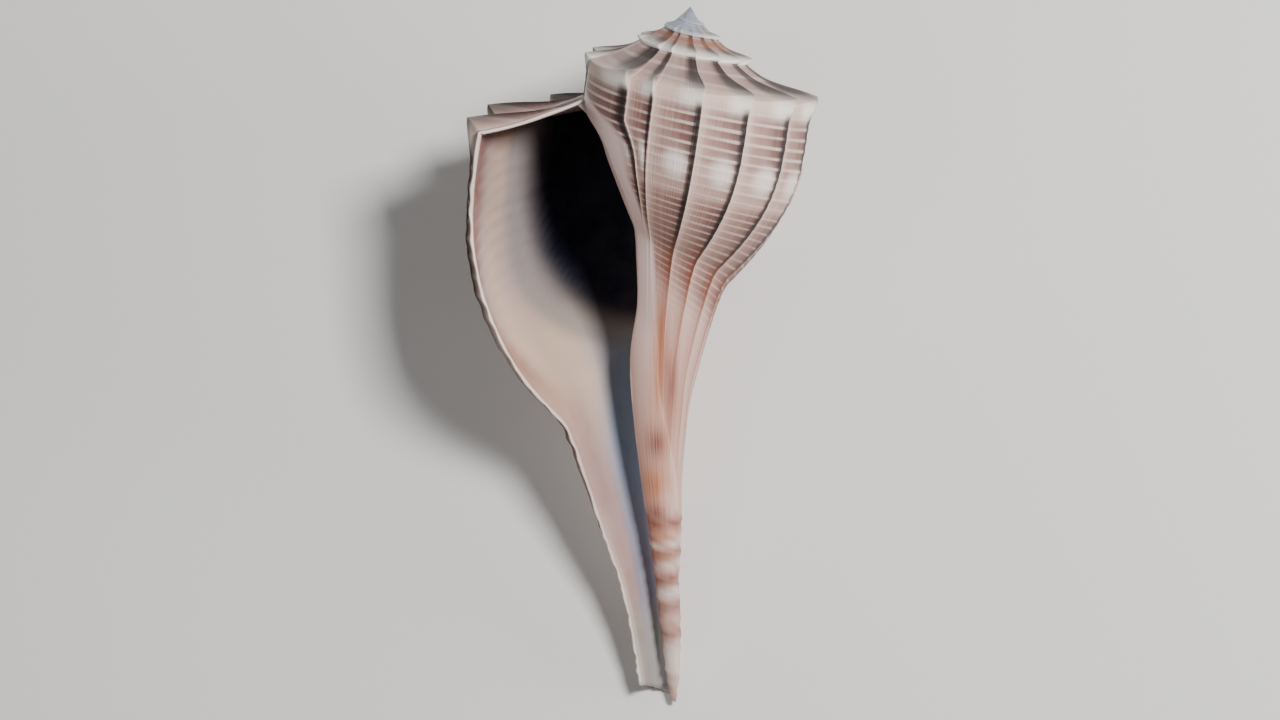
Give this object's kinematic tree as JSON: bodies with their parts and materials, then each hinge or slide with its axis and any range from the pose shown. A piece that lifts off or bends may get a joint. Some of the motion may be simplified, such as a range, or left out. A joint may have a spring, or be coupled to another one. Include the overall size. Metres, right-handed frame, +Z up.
{
  "type": "whelk shell",
  "caption": "Left-handed whelk shell lying on its back: low stepped spire, knobbed body whorl, wide open mouth and a long tapering open canal.",
  "frame": {"origin": "middle of the underside of the shell's box, on the surface that it lies on", "axes": "+Y along the shell towards its spire, +Z up out of its mouth, +X across the mouth away from the outer lip"},
  "size_m": [0.0876, 0.174, 0.0746],
  "materials": {
    "shell": "satin"
  },
  "bodies": {
    "root": {"whelk_shell": "shell"}
  },
  "joints": []
}
